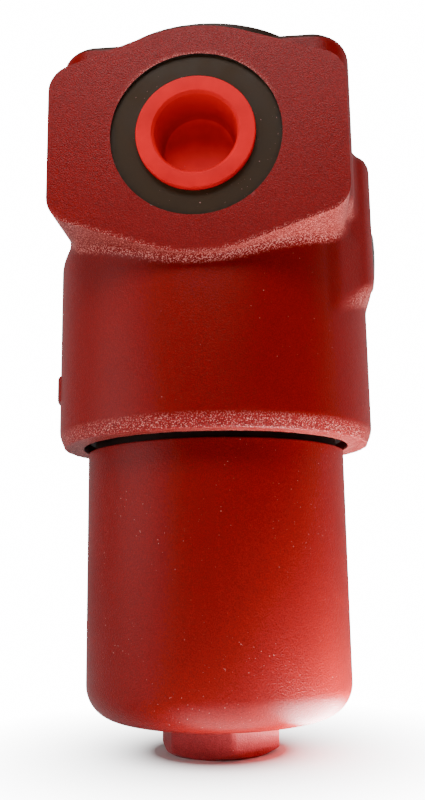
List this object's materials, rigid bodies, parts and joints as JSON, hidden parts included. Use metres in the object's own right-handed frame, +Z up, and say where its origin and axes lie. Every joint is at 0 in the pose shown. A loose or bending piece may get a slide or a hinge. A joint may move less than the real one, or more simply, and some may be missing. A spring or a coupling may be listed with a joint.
{
  "type": "hydraulic pressure filter",
  "caption": "In-line high-pressure oil filter: red cast head with ports on one axis, screw-in bowl below, pleated element, bypass valve and cup plug in the inlet.",
  "frame": {"origin": "centre of the machined top face, on the bowl axis", "axes": "+Z up along the bowl axis, out of the top face; the inlet faces -Y, the outlet +Y and the indicator boss +X"},
  "size_m": [0.0948, 0.099, 0.201],
  "materials": {
    "red_paint_cast": "matt red paint over a fine cast skin",
    "red_paint_turned": "satin red paint on a turned steel bowl",
    "black_rubber": "black nitrile rubber",
    "white_backup_plastic": "white fluoropolymer",
    "turned_steel": "turned steel",
    "tinned_cap": "tinned sheet steel",
    "glass_fibre_medium": "pleated glass fibre",
    "core_steel": "perforated steel tube",
    "net_plastic": "white extruded net",
    "brass_poppet": "turned brass",
    "spring_steel": "dark spring steel",
    "plug_steel": "zinc-plated steel",
    "copper_seal": "copper sealing ring",
    "red_plug_plastic": "bright red moulded plastic"
  },
  "bodies": {
    "head": {"head": "red_paint_cast", "spigot": "turned_steel", "spigot_oring": "black_rubber", "bypass_seat": "turned_steel", "bypass_cage": "turned_steel", "bypass_spring": "spring_steel", "bypass_retainer": "turned_steel", "bypass_circlip": "spring_steel", "blanking_plug": "plug_steel", "blanking_seal": "copper_seal"},
    "element": {"element_top_cap": "tinned_cap", "element_bottom_cap": "tinned_cap", "element_medium": "glass_fibre_medium", "element_core": "core_steel", "element_net": "net_plastic"},
    "bowl_seals": {"bowl_oring": "black_rubber", "bowl_backup_ring": "white_backup_plastic"},
    "bowl": {"bowl": "red_paint_turned"},
    "bypass_poppet": {"bypass_poppet": "brass_poppet"},
    "inlet_plug": {"inlet_plug": "red_plug_plastic"}
  },
  "joints": [
    {"name": "thread_travel", "type": "slide", "parent": "head", "child": "element", "axis": [0, 0, -1], "range_m": [0, 0.016]},
    {"name": "bowl_draw_off", "type": "slide", "parent": "element", "child": "bowl_seals", "axis": [0, 0, -1], "range_m": [0, 0.125]},
    {"name": "bowl_unscrew", "type": "hinge", "parent": "bowl_seals", "child": "bowl", "pos_m": [0, 0, -0.12], "axis": [0, 0, -1], "range_deg": [0, 2880]},
    {"name": "bypass_lift", "type": "slide", "parent": "head", "child": "bypass_poppet", "axis": [0, 0, 1], "range_m": [0, 0.004], "stiffness_N_per_m": 4000, "springref_m": -0.006, "deforming": ["bypass_spring"]},
    {"name": "inlet_plug_pull", "type": "slide", "parent": "head", "child": "inlet_plug", "axis": [0, -1, 0], "range_m": [0, 0.02]}
  ],
  "couplings": [
    {"joint": "thread_travel", "follows": "bowl_unscrew", "m_per_rad": 0.0003183}
  ]
}
